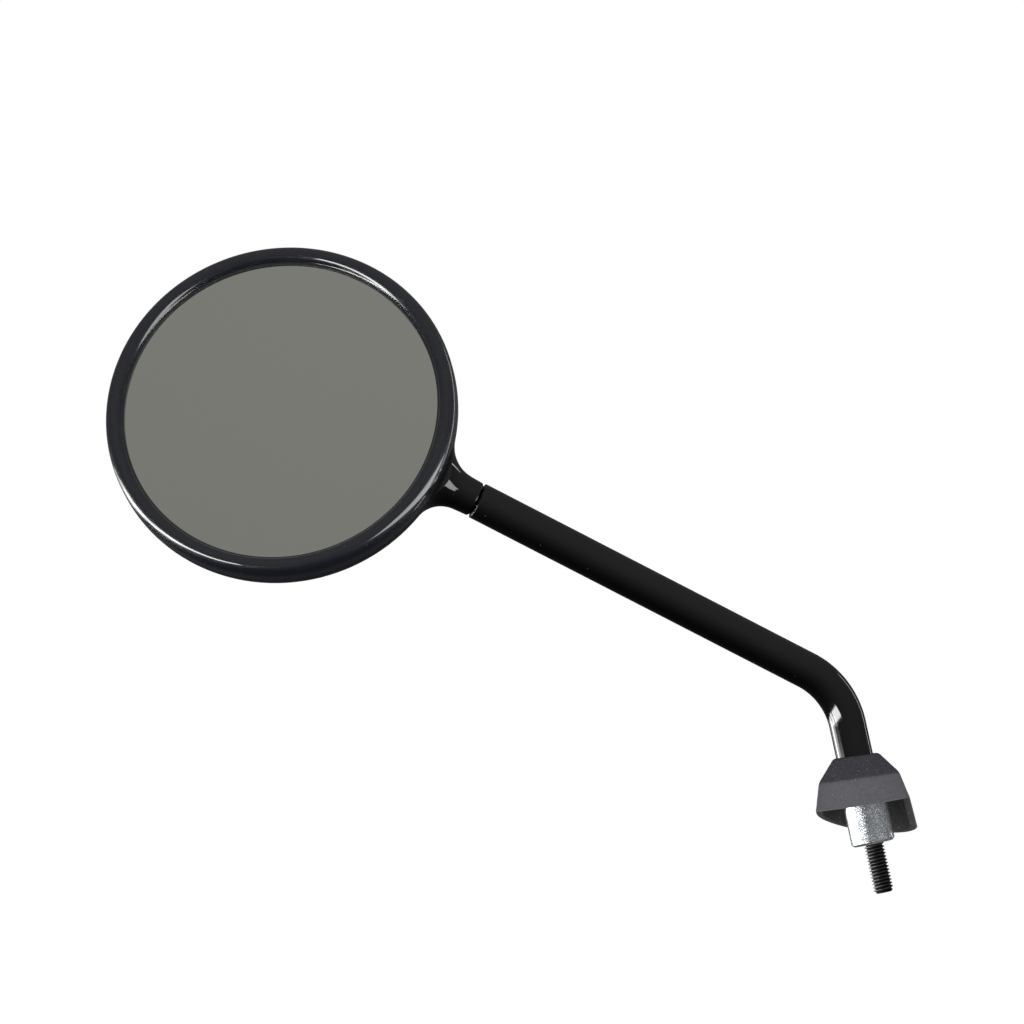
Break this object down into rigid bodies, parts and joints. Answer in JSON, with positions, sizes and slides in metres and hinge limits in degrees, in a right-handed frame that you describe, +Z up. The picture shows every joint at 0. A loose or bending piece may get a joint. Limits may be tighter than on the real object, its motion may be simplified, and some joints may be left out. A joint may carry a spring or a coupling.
{
  "type": "motorcycle mirror",
  "caption": "Round convex rear-view mirror for a scooter or motorcycle: black bezel and domed shell on a ball joint, bent tube arm, rubber boot and threaded fixing stud.",
  "frame": {"origin": "centre of the collar's seat face, where the fixing stud leaves the collar", "axes": "+Z up the fixing axis into the arm, -X towards the side the arm bends to, -Y the way the mirror looks (towards the rider)"},
  "size_m": [0.2102, 0.0541, 0.2255],
  "materials": {
    "black_paint": "gloss",
    "black_plastic": "gloss",
    "mirror_glass": "mirror",
    "foam": "matte",
    "boot_rubber": "matte",
    "zinc_plate": "satin",
    "black_oxide": "satin",
    "turned_steel": "satin",
    "spring_steel": "satin",
    "bearing_plastic": "matte"
  },
  "bodies": {
    "stalk": {"stalk_tube": "black_paint", "head_plug": "turned_steel", "ball_stud": "turned_steel", "collar": "zinc_plate", "mount_stud": "black_oxide"},
    "front_cup": {"front_cup": "bearing_plastic"},
    "rear_cup": {"rear_cup": "bearing_plastic"},
    "head": {"rear_shell": "black_plastic", "bezel": "black_plastic", "mirror_glass": "mirror_glass", "glass_cushion": "foam", "thrust_pad": "bearing_plastic", "disc_spring": "spring_steel", "retaining_ring": "spring_steel"},
    "boot": {"rubber_boot": "boot_rubber"}
  },
  "joints": [
    {"name": "head_spin", "type": "hinge", "parent": "stalk", "child": "front_cup", "pos_m": [-0.10066, 0, 0.12714], "axis": [0.7837, 0, -0.6211], "continuous": true},
    {"name": "head_tilt", "type": "hinge", "parent": "front_cup", "child": "rear_cup", "pos_m": [-0.10066, 0, 0.12714], "axis": [0, 1, 0], "range_deg": [-8, 8]},
    {"name": "head_pan", "type": "hinge", "parent": "rear_cup", "child": "head", "pos_m": [-0.10066, 0, 0.12714], "axis": [0.6211, 0, 0.7837], "range_deg": [-8, 8]},
    {"name": "boot_slide", "type": "slide", "parent": "stalk", "child": "boot", "axis": [0, 0, 1], "range_m": [0, 0.008]}
  ]
}
